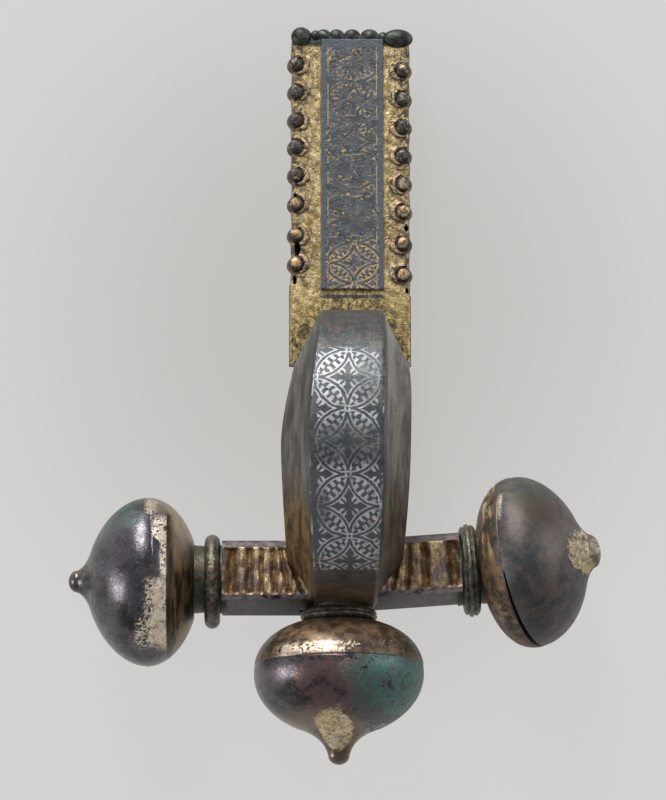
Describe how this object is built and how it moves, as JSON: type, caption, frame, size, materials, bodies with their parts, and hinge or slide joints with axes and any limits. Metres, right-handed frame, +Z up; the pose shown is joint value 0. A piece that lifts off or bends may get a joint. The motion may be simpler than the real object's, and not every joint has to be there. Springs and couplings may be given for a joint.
{
  "type": "fibula brooch",
  "caption": "Late Roman crossbow brooch of gilded copper alloy: high bow, scrolled foot, fluted crossbar, onion knobs and a hinged pin.",
  "frame": {"origin": "centre of the footprint on the surface that the brooch lies on", "axes": "+Y from the head knob towards the foot's end, +X along the crossbar to the askew knob, +Z up out of the brooch's face"},
  "size_m": [0.0658, 0.0932, 0.0287],
  "materials": {
    "gilded_casting": "worn gilding over brown bronze, with niello and silver inlay on the bow's face and the foot",
    "collar_ring": "dark bronze wire with green corrosion in the grooves",
    "knob_shell": "polished thin shell, dark brown and purple patina over worn gilding, green patches",
    "pin_wire": "plain drawn bronze wire, dull brown"
  },
  "bodies": {
    "brooch": {"brooch_casting": "gilded_casting", "ring_left": "collar_ring", "ring_right": "collar_ring", "ring_head": "collar_ring", "knob_left": "knob_shell", "knob_right": "knob_shell", "knob_head": "knob_shell"},
    "pin": {"pin": "pin_wire"}
  },
  "joints": [
    {"name": "pin_hinge", "type": "hinge", "parent": "brooch", "child": "pin", "pos_m": [0.0011, -0.02233, 0.0074], "axis": [-1, 0.0003, 0.0092], "range_deg": [0, 85]}
  ]
}
